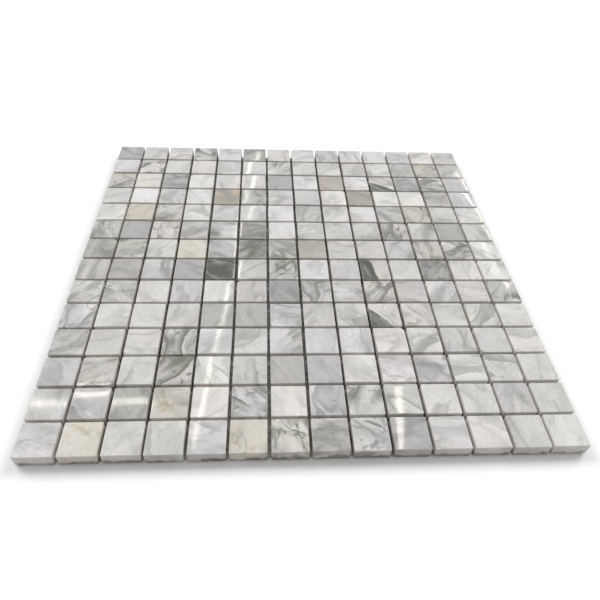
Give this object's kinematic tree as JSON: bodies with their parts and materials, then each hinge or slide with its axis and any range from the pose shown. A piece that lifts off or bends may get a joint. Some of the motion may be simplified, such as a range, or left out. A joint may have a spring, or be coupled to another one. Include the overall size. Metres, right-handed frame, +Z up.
{
  "type": "mosaic tile sheet",
  "caption": "Square sheet of small polished marble chips glued face up on a glass-fibre net, with open joints for grout.",
  "frame": {"origin": "middle of the sheet, on the plane the net's underside lies on", "axes": "+X to the right along the front edge, +Y towards the back edge, +Z up out of the polished face"},
  "size_m": [0.3034, 0.3034, 0.0089],
  "materials": {
    "marble": "polished",
    "net": "glass-fibre yarn with a resin size",
    "glue": "dried white adhesive"
  },
  "bodies": {
    "root": {"chip_row_01": "marble", "chip_row_02": "marble", "chip_row_03": "marble", "chip_row_04": "marble", "chip_row_05": "marble", "chip_row_06": "marble", "chip_row_07": "marble", "chip_row_08": "marble", "chip_row_09": "marble", "chip_row_10": "marble", "chip_row_11": "marble", "chip_row_12": "marble", "chip_row_13": "marble", "chip_row_14": "marble", "glue_pads": "glue", "net_warp": "net", "net_weft": "net"}
  },
  "joints": []
}
